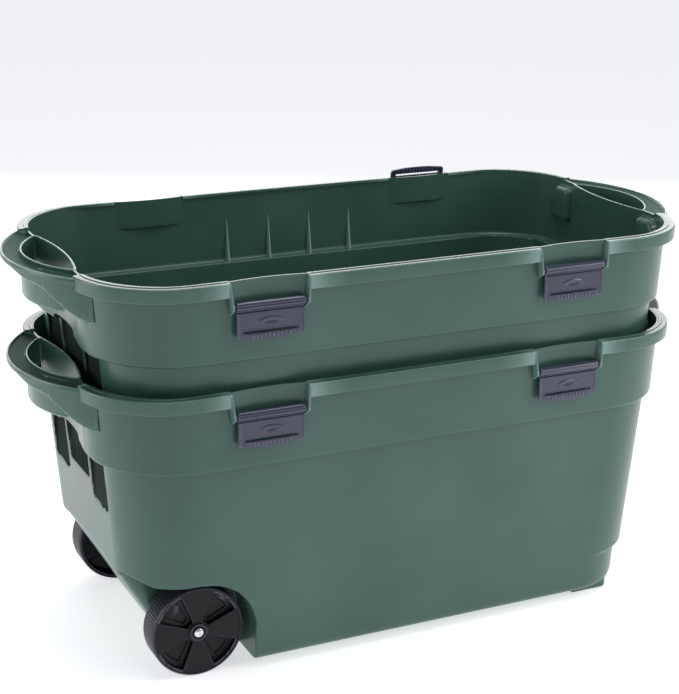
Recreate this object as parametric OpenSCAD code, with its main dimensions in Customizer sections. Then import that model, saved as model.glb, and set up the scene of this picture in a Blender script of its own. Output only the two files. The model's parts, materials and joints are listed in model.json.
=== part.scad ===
// Pair of nested wheeled storage tubs, each with four pivoting lid latches and two wheels.
// +Z is up and Z = 0 is the ground. +X runs along the length, away from the wheel end.

/* [Tub] */
// Length of the rim over its two straight ends, handles not counted
rim_l = 964; // [940:2:990]
// Width of the rim over the long sides
rim_w = 519; // [508:1:524]
// Corner radius of the rim, seen from above
corner_r = 130; // [115:1:135]
// Height of the rim above the ground
rim_h = 454; // [440:1:470]
// Height of the step where the body widens
shoulder_h = 337; // [325:1:345]
// Thickness of the moulded wall
wall = 3; // [2.5:0.1:3.4]
// Clearance under the tub floor
floor_h = 12; // [9:1:14]

/* [Nesting] */
// How far the upper tub sits above the lower one
nest_lift = 157.3; // [157:0.1:162]

/* [Handles] */
// Reach of each handle from the middle of the tub
handle_reach = 539.3; // [532:0.1:548]
// Radius of the outer edge of a handle
handle_r = 215.6; // [205:0.1:225]
// Half length of the grip hole
grip_half_l = 101; // [92:1:102]

/* [Latches] */
// Distance from the middle of the tub to the middle of a latch
latch_x = 242.2; // [225:0.1:260]
// Width of the notch in the rim for a latch
notch_w = 115; // [112:1:122]
// Width of a latch
latch_w = 100.6; // [96:0.1:104]
// Length of a latch from its pivot to its tip
latch_l = 50; // [44:1:56]
// Angle of the raised rear right latch of the upper tub, which leans on the wall past upright
raised_angle = 189; // [0:1:189]

/* [Wheels] */
// Wheel diameter
wheel_d = 141.3; // [136:0.1:144]
// Wheel width over the tread
wheel_w = 44; // [36:1:46]
// Distance from the middle of the tub back to the axle
axle_x = 336.4; // [330:0.1:342]
// Distance over the outer faces of the two wheels
track_w = 404; // [396:1:406]
// Axle diameter
axle_d = 10; // [8:0.5:12]

/* [Hidden] */

$fn = 64;
HULL_FN = 48;
FINE_FN = 200;               // for long arcs
FREE = 0.05;                 // radial clearance of a pin or shaft in its hole
THIN = 0.01;                 // height of the discs that a hull joins
OVER = 1;                    // how far a cut starts outside the face that it opens
FAR = 600;                   // longer than anything that a cut has to pass
TUB_GREEN = "#567268";
LATCH_GREY = "#4e4a5a";
WHEEL_BLACK = "#2b2a31";
STEEL = "#c9cccf";

rim_a = rim_l / 2;
rim_b = rim_w / 2;
flange_t = 3;
skirt_h = 21;                // height of the rim's turned-down skirt
// half lengths and half widths of the wall's outer face: rim, shoulder, under the shoulder, and
// the base under the plinth step
top_a = rim_a - 11.5;
top_b = rim_b - 8.5;
shoulder_a = rim_a - 16;
shoulder_b = rim_b - 11.5;
under_a = rim_a - 33;
under_b = rim_b - 23.5;
under_r = corner_r - 27;
floor_a = rim_a - 58;
floor_b = rim_b - 40;
floor_r = corner_r - 32;
base_flare_a = 6;            // the wall just above the plinth is this much longer than the base
base_flare_b = 3;            // and this much wider
// The end away from the wheels steps in near the floor.
plinth_h = 75;
plinth_step = 7;
plinth_flare = 2;
edge_round = 9;              // height of the slanted edge round the floor
edge_in = 6;                 // how far that edge goes in

handle_cx = handle_reach - handle_r;
ledge_x = rim_a - 52;        // the ledge starts inside the wall
ledge_half = 170;            // half length of a handle along the end
edge_drop = 4;               // handle edge below the rim
edge_cut_x = rim_a - 42;     // from here outwards the top of the wall is cut down to that edge
skirt_in = 27;               // the skirt round a handle starts this far inside the rim's end
skirt_gap = 0.5;             // the pockets stop this far short of the skirt
ledge_drop = 9;              // dished ledge of the handle below the rim
rail_half = 139;             // the rim flange starts this far from the middle of the end
grip_out = handle_reach - 30.3;   // outer side of the grip hole at its middle
grip_in = rim_a - 26;        // inner side of the grip hole at its middle
grip_tip = rim_a - 14;       // ends of the grip hole
grip_below = 20;             // how far the grip hole runs below the shoulder
chimney_h = 67;              // depth of the grip wall below the rim
// Recess behind the grip, open to the end.
recess_x = rim_a - 40;
recess_half = 50;
recess_low = 272;
recess_h = 73;
// Slots beside it, below the shoulder.
slot_x = rim_a - 41;
slot_from = 60;
slot_low = 250;
slot_end_far = 190;          // at the end away from the wheels
slot_end_near = 130;         // at the wheel end
// Stepped pockets beside the grip, above the shoulder.
socket_x = rim_a - 26;
socket_from = 104;
socket_w = 38;
socket_steps = 3;
socket_step = 6;             // each step of a pocket is this much longer and less deep
socket_h = 66;               // depth below the rim
socket_cover = 24;           // depth of the covered part at the widest step
recess_deep = 60;            // past the wall from any of these faces
// lower edge of the skirt round a handle: [distance from the middle, depth below the rim]
skirt_edge = [[0, 12], [60, 18], [90, 23], [115, 38], [136, 55], [150, 63], [ledge_half, 66]];

pivot_y = rim_b - 1.8;
pivot_drop = 34.5;
barrel_r = 6.3;
latch_pin_r = 2.5;
plate_t = 3.4;
cheek_t = 3;
cheek_lean = 5.5;            // degrees
cheek_in = 2;                // a side plate starts this far inside the wall's outer face
cheek_out = 6;               // past the pivot
cheek_rim_drop = 0.4;        // the side plates stay just under the rim's face
cheek_nose = [30, 39];       // depths of the plate's outer edge below the rim
cheek_foot = 49;             // depth of its lower corner at the wall
notch_bow = 6;
bow_drop = 44;               // the bowed wall starts this far below the rim
bow_margin = 12;             // reach of its cut inside the wall, more than the bow
pin_reach = 6;               // length of a latch pin past the latch
notch_deep = 60;             // height of the cut through the rim at a notch
slot_l = 82;                 // slot through a latch near its tip
slot_h = 3.2;
slot_up = 12.5;              // from the tip
lip_up = 6.5;                // thick lip along the tip, from the tip
lip_r = 2;
lip_short = 13;              // shorter than the latch at each side
latch_corner = 10;
latch_corner_up = 14;        // the corners' centres, from the tip
tip_r = 300;                 // radius of the bowed tip

wheel_r = wheel_d / 2;
wheel_in = track_w / 2 - wheel_w;
well_r = wheel_r + 12.4;
well_flat = 0.2;             // the level part of a well's roof is this far below its round part
well_top = wheel_r + well_r - well_flat;
keel_b = 150;
keel_top = 168;              // the sloped end of the keel starts here
keel_foot_x = axle_x + 15.6; // and meets the floor here
keel_slope = [[-rim_a, keel_top], [-slot_x, keel_top], [-keel_foot_x, floor_h],
              [-keel_foot_x, -FAR], [-rim_a, -FAR]];
sleeve_t = 4;                // wall of the sleeve round the axle
sleeve_over = 1;             // the hollow is kept off the sleeve's ends by this
axle_out = 3;                // the axle shows this far past each wheel
// Foot pads: nearest and furthest X and Y of the one at +Y.
pad_x = [312, 378];
pad_y = [140, 200];
pad_into = 6;                // how far a pad runs up into the floor
rib_count = 4;
rib_pitch = 73.3;
rib_t = 2.4;
rib_h = 74;
rib_foot = 11;               // how far a rib's foot reaches in from the shoulder's outer face
rib_lean = 1;                // its back edge leans this far to each side of that face

// Radius of an arc that bulges by rise over a chord of length 2 * half.
function arc_r(half, rise) = (half * half + rise * rise) / (2 * rise);

// Rounded rectangle of half sizes a and b, centred at x = cx, as four thin discs for a hull.
module corner_discs(a, b, r, z, cx = 0) {
    for (sx = [-1, 1], sy = [-1, 1])
        translate([cx + sx * (a - r), sy * (b - r), z])
            cylinder(r = r, h = THIN, $fn = HULL_FN);
}

// Exact rounded rectangle.
module rounded_rect(a, b, r) {
    square([2 * a, 2 * (b - r)], center = true);
    square([2 * (a - r), 2 * b], center = true);
    for (sx = [-1, 1], sy = [-1, 1])
        translate([sx * (a - r), sy * (b - r)])
            circle(r = r);
}

// The tapered body without its hollow, made smaller all round by inset.
module body_block(inset, top) {
    hull() {
        corner_discs(shoulder_a - inset, shoulder_b - inset, corner_r - inset, shoulder_h + inset);
        corner_discs(top_a - inset, top_b - inset, corner_r - inset, top);
    }
    hull() {
        corner_discs(under_a - inset, under_b - inset, under_r - inset, shoulder_h + inset + THIN);
        corner_discs(floor_a + base_flare_a - inset, floor_b + base_flare_b - inset,
                     floor_r - inset, plinth_h);
    }
    plinth_a = floor_a - plinth_step / 2 - inset;
    hull() {
        corner_discs(plinth_a + plinth_flare, floor_b + base_flare_b - inset, floor_r - inset,
                     plinth_h, -plinth_step / 2);
        corner_discs(plinth_a, floor_b - inset, floor_r - inset, floor_h + edge_round,
                     -plinth_step / 2);
        corner_discs(plinth_a - edge_in, floor_b - inset - edge_in, floor_r - inset - edge_in,
                     floor_h + inset, -plinth_step / 2);
    }
}

// Copies of a handle-end feature that is drawn at the +X end.
module both_ends() {
    children();
    mirror([1, 0, 0])
        children();
}

module both_sides() {
    children();
    mirror([0, 1, 0])
        children();
}

// Outline of the grip hole, made larger all round by grow.
module grip_outline(grow = 0) {
    out_r = arc_r(grip_half_l, grip_out - grip_tip);
    in_r = arc_r(grip_half_l, grip_tip - grip_in);
    intersection() {
        translate([grip_out - out_r, 0])
            circle(r = out_r + grow, $fn = FINE_FN);
        translate([grip_in + in_r, 0])
            circle(r = in_r + grow, $fn = FINE_FN);
        square([2 * (grip_out + grow), 2 * (grip_half_l + grow)], center = true);
    }
}

// Wheel well at the -X end, +Y side. Its roof follows the wheel.
module wheel_well(grow) {
    translate([0, FAR, 0])
        rotate([90, 0, 0])
            linear_extrude(height = FAR - keel_b + grow) {
                translate([-axle_x, wheel_r])
                    circle(r = well_r + grow);
                translate([-axle_x - FAR, -FAR])
                    square([FAR, well_top + FAR + grow]);
                translate([-axle_x, -FAR])
                    square([well_r + grow, wheel_r + FAR]);
            }
}

// Underside of the end wall between the wells, sloping inwards to the keel.
module keel_cut(grow) {
    translate([grow, 0, grow / 2])
        rotate([90, 0, 0])
            linear_extrude(height = 2 * rim_w, center = true)
                polygon(keel_slope);
}

// Recesses moulded into an end wall: the back of the grip, and a slot on each side of it that
// reaches slot_end from the middle.
module end_recesses(grow, slot_end) {
    translate([recess_x - grow, -recess_half - grow, recess_low - grow])
        cube([recess_deep, 2 * (recess_half + grow), recess_h + 2 * grow]);
    both_sides() {
        translate([slot_x - grow, slot_from - grow, slot_low - grow])
            cube([recess_deep, slot_end - slot_from + 2 * grow, shoulder_h - slot_low + grow]);
        // the pockets end behind the skirt of the handle
        intersection() {
            for (k = [0 : socket_steps - 1])
                translate([socket_x - grow, socket_from - grow, rim_h - socket_h - grow])
                    cube([recess_deep, socket_w + k * socket_step + 2 * grow,
                          socket_h - flange_t - socket_cover
                          + (socket_steps - 1 - k) * socket_step + 2 * grow]);
            translate([handle_cx, 0, 0])
                cylinder(r = handle_r - wall - skirt_gap + 2 * grow, h = rim_h, $fn = FINE_FN);
        }
    }
}

// Everything that is hollow from outside. With grow, the same shapes with a wall round them.
module outside_hollows(grow) {
    both_sides()
        wheel_well(grow);
    keel_cut(grow);
    end_recesses(grow, slot_end_far);
    mirror([1, 0, 0])
        end_recesses(grow, slot_end_near);
    both_ends()
        translate([0, 0, shoulder_h - grip_below])
            linear_extrude(height = rim_h - shoulder_h + grip_below + OVER)
                grip_outline(grow);
}

// Rim flange with its turned-down skirt.
module rim() {
    translate([0, 0, rim_h - flange_t])
        linear_extrude(height = flange_t)
            rounded_rect(rim_a, rim_b, corner_r);
    translate([0, 0, rim_h - skirt_h])
        linear_extrude(height = skirt_h)
            difference() {
                rounded_rect(rim_a, rim_b, corner_r);
                rounded_rect(rim_a - wall, rim_b - wall, corner_r - wall);
            }
}

// Space above the dished ledge of the handle at the +X end, where the rim flange is absent.
module handle_dish(drop, r_less) {
    translate([0, 0, rim_h - drop])
        linear_extrude(height = drop + OVER)
            intersection() {
                translate([handle_cx, 0])
                    circle(r = handle_r - r_less, $fn = FINE_FN);
                translate([ledge_x, -rail_half])
                    square([FAR, 2 * rail_half]);
            }
}

// Handle at the +X end: a ledge, an arched skirt under its edge, and the wall of the grip hole.
module handle() {
    translate([0, 0, rim_h - ledge_drop - flange_t])
        linear_extrude(height = flange_t)
            intersection() {
                translate([handle_cx, 0])
                    circle(r = handle_r, $fn = FINE_FN);
                translate([ledge_x, -ledge_half])
                    square([FAR, 2 * ledge_half]);
            }
    intersection() {
        translate([handle_cx, 0, 0])
            difference() {
                cylinder(r = handle_r, h = rim_h - edge_drop, $fn = FINE_FN);
                translate([0, 0, -OVER])
                    cylinder(r = handle_r - wall, h = rim_h + 2 * OVER, $fn = FINE_FN);
            }
        translate([FAR, 0, rim_h])
            rotate([90, 0, -90])
                linear_extrude(height = FAR - rim_a + skirt_in)
                    polygon([for (s = [-1, 1], i = [0 : len(skirt_edge) - 1])
                                 let (p = skirt_edge[s < 0 ? len(skirt_edge) - 1 - i : i])
                                     [s * p[0], -p[1]],
                             [ledge_half, OVER], [-ledge_half, OVER]]);
    }
    translate([0, 0, rim_h - chimney_h])
        linear_extrude(height = chimney_h - edge_drop)
            grip_outline(wall);
}

// Side plates of a latch notch, with the holes for the latch pins.
module cheeks() {
    difference() {
        for (s = [-1, 1])
            translate([latch_x + s * notch_w / 2, 0, rim_h])
                rotate([0, s * cheek_lean, 0])
                    translate([s > 0 ? 0 : -cheek_t, 0, 0])
                        rotate([90, 0, 90])
                            linear_extrude(height = cheek_t)
                                polygon([[top_b - cheek_in, -cheek_rim_drop], [rim_b, -cheek_rim_drop],
                                         [pivot_y + cheek_out, -cheek_nose[0]],
                                         [pivot_y + cheek_out, -cheek_nose[1]],
                                         [top_b - wall, -cheek_foot]]);
        translate([latch_x - notch_w, pivot_y, rim_h - pivot_drop])
            rotate([0, 90, 0])
                cylinder(r = latch_pin_r + FREE, h = 2 * notch_w);
    }
}

// Wall behind a latch, bowed inwards to clear the barrel.
module bowed_wall(grow) {
    bow_r = arc_r(notch_w / 2, notch_bow);
    translate([latch_x, 0, rim_h - bow_drop - grow])
        linear_extrude(height = bow_drop + OVER + grow)
            intersection() {
                translate([0, top_b + bow_r - notch_bow])
                    circle(r = bow_r + grow, $fn = FINE_FN);
                translate([-notch_w / 2 - grow, top_b - bow_margin])
                    square([notch_w + 2 * grow, bow_margin + wall + OVER]);
            }
}

// Round bar along the axle line.
module axle_rod(r, length) {
    translate([-axle_x, 0, wheel_r])
        rotate([90, 0, 0])
            cylinder(r = r, h = length, center = true);
}

module tub() {
    color(TUB_GREEN)
    difference() {
        union() {
            body_block(0, rim_h - OVER);
            difference() {
                rim();
                both_ends()
                    handle_dish(ledge_drop, wall);
                both_sides()
                    both_ends()
                        translate([latch_x - notch_w / 2, top_b - OVER, rim_h - notch_deep])
                            cube([notch_w, rim_b, notch_deep + OVER]);
            }
            both_ends()
                handle();
            axle_rod(axle_d / 2 + sleeve_t, 2 * keel_b);
            both_sides()
                translate([pad_x[0], pad_y[0], 0])
                    cube([pad_x[1] - pad_x[0], pad_y[1] - pad_y[0], floor_h + pad_into]);
        }
        outside_hollows(0);
        both_sides()
            both_ends()
                bowed_wall(0);
        // hollow of the tub
        difference() {
            body_block(wall, rim_h + OVER);
            outside_hollows(wall);
            both_sides()
                both_ends()
                    bowed_wall(wall);
            axle_rod(axle_d / 2 + sleeve_t, 2 * (keel_b + sleeve_over));
        }
        both_ends()
            translate([edge_cut_x, -rail_half, rim_h - edge_drop])
                cube([FAR, 2 * rail_half, edge_drop + OVER]);
        axle_rod(axle_d / 2 + FREE, 2 * rim_w);
    }
    color(TUB_GREEN) {
        wall_ribs();
        both_sides()
            both_ends()
                cheeks();
    }
}

// Tapered ribs that stand on the inner ledge of both long walls.
module wall_ribs() {
    both_sides()
        for (i = [0 : rib_count - 1])
            translate([(i - (rib_count - 1) / 2) * rib_pitch - rib_t / 2, 0, shoulder_h])
                rotate([90, 0, 90])
                    linear_extrude(height = rib_t)
                        polygon([[shoulder_b - rib_foot, OVER], [shoulder_b - rib_lean, OVER],
                                 [shoulder_b + rib_lean, rib_h], [shoulder_b - wall, rib_h]]);
}

// A latch in its hanging position, with its pivot on the X axis and its outside towards +Y.
module latch() {
    color(LATCH_GREY)
    difference() {
        union() {
            rotate([0, 90, 0])
                cylinder(r = barrel_r, h = latch_w, center = true);
            rotate([0, 90, 0])
                cylinder(r = latch_pin_r, h = latch_w + 2 * pin_reach, center = true);
            translate([0, plate_t / 2, 0])
                rotate([90, 0, 0])
                    linear_extrude(height = plate_t)
                        latch_outline();
            // thick lip along the tip
            translate([0, plate_t / 2, -latch_l + lip_up])
                rotate([0, 90, 0])
                    cylinder(r = lip_r, h = latch_w - 2 * lip_short, center = true);
        }
        translate([0, 0, -latch_l + slot_up])
            cube([slot_l, 4 * barrel_r, slot_h], center = true);
    }
}

module latch_outline() {
    half = latch_w / 2;
    translate([-half, latch_corner_up - latch_l])
        square([latch_w, latch_l - latch_corner_up]);
    intersection() {
        translate([0, tip_r - latch_l])
            circle(r = tip_r, $fn = FINE_FN);
        union() {
            translate([latch_corner - half, -latch_l])
                square([latch_w - 2 * latch_corner, 2 * latch_corner_up]);
            for (s = [-1, 1])
                translate([s * (half - latch_corner), latch_corner_up - latch_l])
                    circle(r = latch_corner);
        }
    }
}

module latch_at(side_x, side_y, angle = 0) {
    translate([side_x * latch_x, side_y * pivot_y, rim_h - pivot_drop])
        rotate([side_y * angle, 0, 0])
            mirror([0, side_y < 0 ? 1 : 0, 0])
                latch();
}

module axle() {
    color(STEEL)
    axle_rod(axle_d / 2, track_w + 2 * axle_out);
}

// One wheel, with its outer face towards +Y and its inner face on the XZ plane.
module wheel() {
    hub_r = 14;
    hub_back = 7;            // the hub reaches this far past the inner face
    tread_t = 5;
    back_d = wheel_w - 16;   // depth of the hollow behind the web
    pocket_d = 12;
    pocket_gap = 1;          // between a pocket and the tread ring
    pocket_hub_gap = 3;
    spokes = 4;
    spoke_half = 0.42;       // half width of a spoke over the radius
    seat_r = 9.5;
    seat_d = 2;
    wheel_edge = 3;
    color(WHEEL_BLACK)
    rotate([-90, 0, 0])
        difference() {
            union() {
                cylinder(r1 = wheel_r - wheel_edge, r2 = wheel_r, h = wheel_edge);
                translate([0, 0, wheel_edge])
                    cylinder(r = wheel_r, h = wheel_w - 2 * wheel_edge);
                translate([0, 0, wheel_w - wheel_edge])
                    cylinder(r1 = wheel_r, r2 = wheel_r - wheel_edge, h = wheel_edge);
                translate([0, 0, -hub_back])
                    cylinder(r = hub_r, h = wheel_w + hub_back);
            }
            translate([0, 0, -hub_back - OVER])
                cylinder(r = axle_d / 2 + FREE, h = wheel_w + hub_back + 2 * OVER);
            // hollow behind the web
            translate([0, 0, -OVER])
                difference() {
                    cylinder(r = wheel_r - tread_t, h = back_d + OVER);
                    translate([0, 0, -OVER])
                        cylinder(r = hub_r, h = wheel_w);
                }
            // pockets between the broad spokes
            translate([0, 0, wheel_w - pocket_d])
                linear_extrude(height = pocket_d + OVER)
                    difference() {
                        circle(r = wheel_r - tread_t - pocket_gap);
                        circle(r = hub_r + pocket_hub_gap);
                        for (q = [0 : spokes - 1])
                            rotate(360 / spokes * q)
                                polygon([[0, 0], [wheel_r, -spoke_half * wheel_r],
                                         [wheel_r, spoke_half * wheel_r]]);
                    }
            // seat round the axle cap
            translate([0, 0, wheel_w - seat_d])
                cylinder(r = seat_r, h = seat_d + OVER);
        }
}

module wheel_at(side_y) {
    translate([-axle_x, 0, wheel_r])
        mirror([0, side_y < 0 ? 1 : 0, 0])
            translate([0, wheel_in, 0])
                wheel();
}

// Domed push-on cap at the end of the axle.
module axle_cap() {
    cap_r = 7.3;
    cap_h = 4;
    dome_r = 11;
    bore_d = 4.3;            // depth of the blind hole for the axle
    color(STEEL)
    rotate([-90, 0, 0])
        difference() {
            union() {
                cylinder(r = cap_r, h = cap_h);
                intersection() {
                    translate([0, 0, cap_h - sqrt(dome_r * dome_r - cap_r * cap_r)])
                        sphere(r = dome_r);
                    cylinder(r = cap_r, h = dome_r);
                }
            }
            translate([0, 0, -OVER])
                cylinder(r = axle_d / 2 + FREE, h = OVER + bore_d);
        }
}

module axle_cap_at(side_y) {
    seat_gap = 1.3;          // the cap starts this far inside the wheel's outer face
    translate([-axle_x, 0, wheel_r])
        mirror([0, side_y < 0 ? 1 : 0, 0])
            translate([0, track_w / 2 - seat_gap, 0])
                axle_cap();
}

// The upper tub and its pieces are drawn as the lower ones are, and lifted.
module lifted() {
    translate([0, 0, nest_lift])
        children();
}

tub();  // lower_tub
latch_at(-1, -1);  // lower_latch_front_left
latch_at(1, -1);  // lower_latch_front_right
latch_at(-1, 1);  // lower_latch_rear_left
latch_at(1, 1);  // lower_latch_rear_right
axle();  // lower_axle
wheel_at(-1);  // lower_wheel_front
wheel_at(1);  // lower_wheel_rear
axle_cap_at(-1);  // lower_axle_cap_front
axle_cap_at(1);  // lower_axle_cap_rear
lifted() tub();  // upper_tub
lifted() latch_at(-1, -1);  // upper_latch_front_left
lifted() latch_at(1, -1);  // upper_latch_front_right
lifted() latch_at(-1, 1);  // upper_latch_rear_left
lifted() latch_at(1, 1, raised_angle);  // upper_latch_rear_right
lifted() axle();  // upper_axle
lifted() wheel_at(-1);  // upper_wheel_front
lifted() wheel_at(1);  // upper_wheel_rear
lifted() axle_cap_at(-1);  // upper_axle_cap_front
lifted() axle_cap_at(1);  // upper_axle_cap_rear
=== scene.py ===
"""Nested pair of wheeled storage tubs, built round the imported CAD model.

Sizes in this script are millimetres in a tub's own frame: X along the length and away from the
wheel end, Y = 0 on the tub's middle plane, Z = 0 on the ground. Meshes are made in metres.
"""
import json
import math

import bmesh
import bpy
import numpy as np
from mathutils import Matrix, Vector


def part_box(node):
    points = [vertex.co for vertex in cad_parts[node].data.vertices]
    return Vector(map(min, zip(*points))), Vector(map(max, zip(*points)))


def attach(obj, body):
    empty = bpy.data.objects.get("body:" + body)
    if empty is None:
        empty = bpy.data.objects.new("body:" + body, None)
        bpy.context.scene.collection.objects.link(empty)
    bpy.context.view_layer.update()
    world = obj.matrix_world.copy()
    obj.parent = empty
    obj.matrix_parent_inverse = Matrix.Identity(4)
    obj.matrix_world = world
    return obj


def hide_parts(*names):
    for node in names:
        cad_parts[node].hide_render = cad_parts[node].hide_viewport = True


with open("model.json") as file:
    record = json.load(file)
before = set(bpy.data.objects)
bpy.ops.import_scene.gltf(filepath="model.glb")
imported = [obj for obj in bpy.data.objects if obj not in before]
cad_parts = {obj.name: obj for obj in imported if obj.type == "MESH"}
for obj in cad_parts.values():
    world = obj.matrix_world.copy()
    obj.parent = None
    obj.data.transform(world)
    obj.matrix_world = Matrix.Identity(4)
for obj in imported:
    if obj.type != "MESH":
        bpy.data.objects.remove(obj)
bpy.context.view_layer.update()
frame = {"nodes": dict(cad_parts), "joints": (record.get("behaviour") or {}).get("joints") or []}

MM = 0.001

# ---------------------------------------------------------------- places taken from the frame
lower_low, lower_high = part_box("lower_tub")
upper_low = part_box("upper_tub")[0]
MID_Y = (lower_low.y + lower_high.y) / 2
LIFT = {"lower": 0.0, "upper": upper_low.z - lower_low.z}
JOINTS = {joint["name"]: joint for joint in frame["joints"]}
PLACE = {tier: Vector((0, MID_Y, LIFT[tier])) for tier in LIFT}

# ---------------------------------------------------------------- driving dimensions, mm
RIM_Z = (lower_high.z - lower_low.z) / MM
RIM_A = 482.0
RIM_B = 259.5
CORNER_R = 130.0
# half lengths and half widths of the wall's outer face: rim, shoulder, under it and at the plinth
TOP_A = RIM_A - 11.5
TOP_B = RIM_B - 8.5
SHOULDER_A = RIM_A - 16
SHOULDER_B = RIM_B - 11.5
UNDER_A = RIM_A - 33
UNDER_R = CORNER_R - 27
PLINTH_A = RIM_A - 52
PLINTH_B = RIM_B - 37
PLINTH_R = CORNER_R - 32
UNDER_MORE_B = 13.5        # how much wider the body is under the shoulder than at the plinth
FOOT_Z = 21.0              # the rounded edge of the floor starts here
FOOT_B = RIM_B - 40
FOOT_A = RIM_A - 61.5
FOOT_TOP_A = RIM_A - 59.5
PLINTH_SHIFT = -3.5        # the plinth steps in only at the end away from the wheels
WALL = 3.0
FLANGE = 11.5
SKIRT_H = 21.0
SHOULDER_Z = 337.0
FLOOR_Z = 12.0
PLINTH_Z = 75.0
HANDLE_REACH = lower_high.x / MM
HANDLE_R = 215.6
HANDLE_CX = HANDLE_REACH - HANDLE_R
EDGE_DROP = 4.0
LEDGE_DROP = 9.0
RAIL_HALF = 139.0
GRIP_HALF = 101.0
GRIP_OUT = HANDLE_REACH - 30.3
GRIP_IN = RIM_A - 26
GRIP_TIP = RIM_A - 14
CHIMNEY_H = 67.0
SKIRT_LEAST = 12           # depth of a handle's skirt at its middle
LATCH_X = 242.2
NOTCH_HALF = 57.5
NOTCH_BOW = 6.0
BOW_DROP = 44.0
CHEEK_LEAN = 5.5           # degrees
PIVOT_Y = RIM_B - 1.8
PIVOT_DROP = 34.5
AXLE_X = 336.4
WHEEL_R = 70.65
TRACK_HALF = 202.0         # outer face of each wheel
CAP_Y = TRACK_HALF - 1.3
WELL_R = WHEEL_R + 12.4
WELL_TOP = 153.5
KEEL_B = 150.0
KEEL_TOP = 168.0           # the sloped end of the keel starts here
SLEEVE_R = 9.0
FAR_OUT = 500.0
PAD_X = (312, 378)
PAD_Y = (140, 200)
WALL_CUT = 0.6             # the wall's top is cut this far below the rim's face
RIB_COUNT = 4
RIB_ROWS = 8
RIB_H = 73.0
RIB_PITCH = 73.3
RECESS_X = RIM_A - 40      # back of the recess behind the grip
RECESS_HALF = 50
RECESS_Z = (272, 345)
RECESS_RIB_PITCH = 20
SLOT_X = RIM_A - 41        # back of the slots beside it
SLOT_FROM = 60
SLOT_LOW = 250
SLOT_HIGH = SHOULDER_Z + 12
SLOT_END_FAR = 190.0       # at the end away from the wheels
SLOT_END_NEAR = 130.0      # at the wheel end
POCKET_ROUND = 9
STEPPED_X = RIM_A - 26     # back of the stepped pockets above the shoulder
STEPPED_Y = (104, 142)
STEPPED_DROP = (66, 27)    # lowest and highest depth below the rim
STEPPED_BY = 6
POCKET_SHADE_SKIN = 0.9          # a face whose middle is this near a pocket's outline lines it and is painted near-black as shade


# ---------------------------------------------------------------- shape functions
def smooth_max(a, b, k):
    """The larger of a and b, with the edge between them rounded over about k."""
    h = np.maximum(k - np.abs(a - b), 0.0) / k
    return np.maximum(a, b) + h * h * k / 4


def smooth_min(a, b, k):
    return -smooth_max(-a, -b, k)


def step(v, low, high):
    """0 below low, 1 above high and smooth between."""
    t = np.clip((v - low) / (high - low), 0.0, 1.0)
    return t * t * (3 - 2 * t)


def ramp(v, v0, v1, at0, at1):
    return at0 + (at1 - at0) * np.clip((v - v0) / (v1 - v0), 0.0, 1.0)


def round_rect(x, y, a, b, r):
    """Distance outside a rounded rectangle of half sizes a and b."""
    qx = np.abs(x) - (a - r)
    qy = np.abs(y) - (b - r)
    outside = np.hypot(np.maximum(qx, 0), np.maximum(qy, 0))
    return outside + np.minimum(np.maximum(qx, qy), 0) - r


def block(x, y, z, x_range, y_range, z_range, r):
    """Distance outside a box whose edges are rounded by r."""
    parts = []
    for v, (low, high) in ((x, x_range), (y, y_range), (z, z_range)):
        parts.append(np.abs(v - (low + high) / 2) - (high - low) / 2 + r)
    outside = sum(np.maximum(q, 0) ** 2 for q in parts) ** 0.5
    nearest = np.maximum(np.maximum(parts[0], parts[1]), parts[2])
    return outside + np.minimum(nearest, 0) - r


def arc_r(half, rise):
    return (half * half + rise * rise) / (2 * rise)


def lens(x, y):
    """Distance outside the outline of the grip hole at the +X end."""
    out_r = arc_r(GRIP_HALF, GRIP_OUT - GRIP_TIP)
    in_r = arc_r(GRIP_HALF, GRIP_TIP - GRIP_IN)
    outer = np.hypot(x - (GRIP_OUT - out_r), y) - out_r
    inner = np.hypot(x - (GRIP_IN + in_r), y) - in_r
    return smooth_max(outer, inner, 8.0)


def end_pockets(x, y, z, slot_end):
    """Recess behind the grip, slots and stepped pockets of the end at +X."""
    far = RIM_A + 80
    ay = np.abs(y)
    recess = block(x, y, z, (RECESS_X, far), (-RECESS_HALF, RECESS_HALF), RECESS_Z, POCKET_ROUND)
    ribs = np.abs((ay % RECESS_RIB_PITCH) - RECESS_RIB_PITCH / 2) - 1.4
    recess = smooth_max(recess, -np.maximum(ribs, x - (RECESS_X + 4)), 1.5)
    slot = round_rect(ay - (slot_end + SLOT_FROM) / 2, z - (SLOT_LOW + SLOT_HIGH) / 2,
                      (slot_end - SLOT_FROM) / 2, (SLOT_HIGH - SLOT_LOW) / 2, POCKET_ROUND)
    slot = smooth_max(slot, SLOT_X - x, 1)
    slot = smooth_max(slot, z - SHOULDER_Z, 2)
    found = smooth_min(recess, slot, 3)
    for k in range(3):
        low = RIM_Z - STEPPED_DROP[0]
        high = RIM_Z - STEPPED_DROP[1] + (2 - k) * STEPPED_BY
        across = (STEPPED_Y[0], STEPPED_Y[1] + STEPPED_BY * k)
        pocket = block(x, ay, z, (STEPPED_X, far), across, (low, high), 6)
        found = smooth_min(found, pocket, 2)
    return found


def end_hollows(x, y, z, slot_end):
    """The pockets of the end at +X and the grip hole above them."""
    grip = smooth_max(lens(x, y), SHOULDER_Z - 20 - z, 4)
    return smooth_min(end_pockets(x, y, z, slot_end), grip, 3)


def keel_slope(x, y, z):
    """Positive outside the sloped end of the keel, under an arched end wall."""
    foot = Vector((-(AXLE_X + 15.6), FLOOR_Z))
    top = Vector((-SLOT_X, KEEL_TOP))
    along = (top - foot).normalized()
    slope = -(along.y * (x - foot.x) - along.x * (z - foot.y))
    arch = KEEL_B + 22 * np.clip(1 - (y / 140) ** 2, 0, 1)
    return smooth_min(slope, arch - z, 6)


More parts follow.
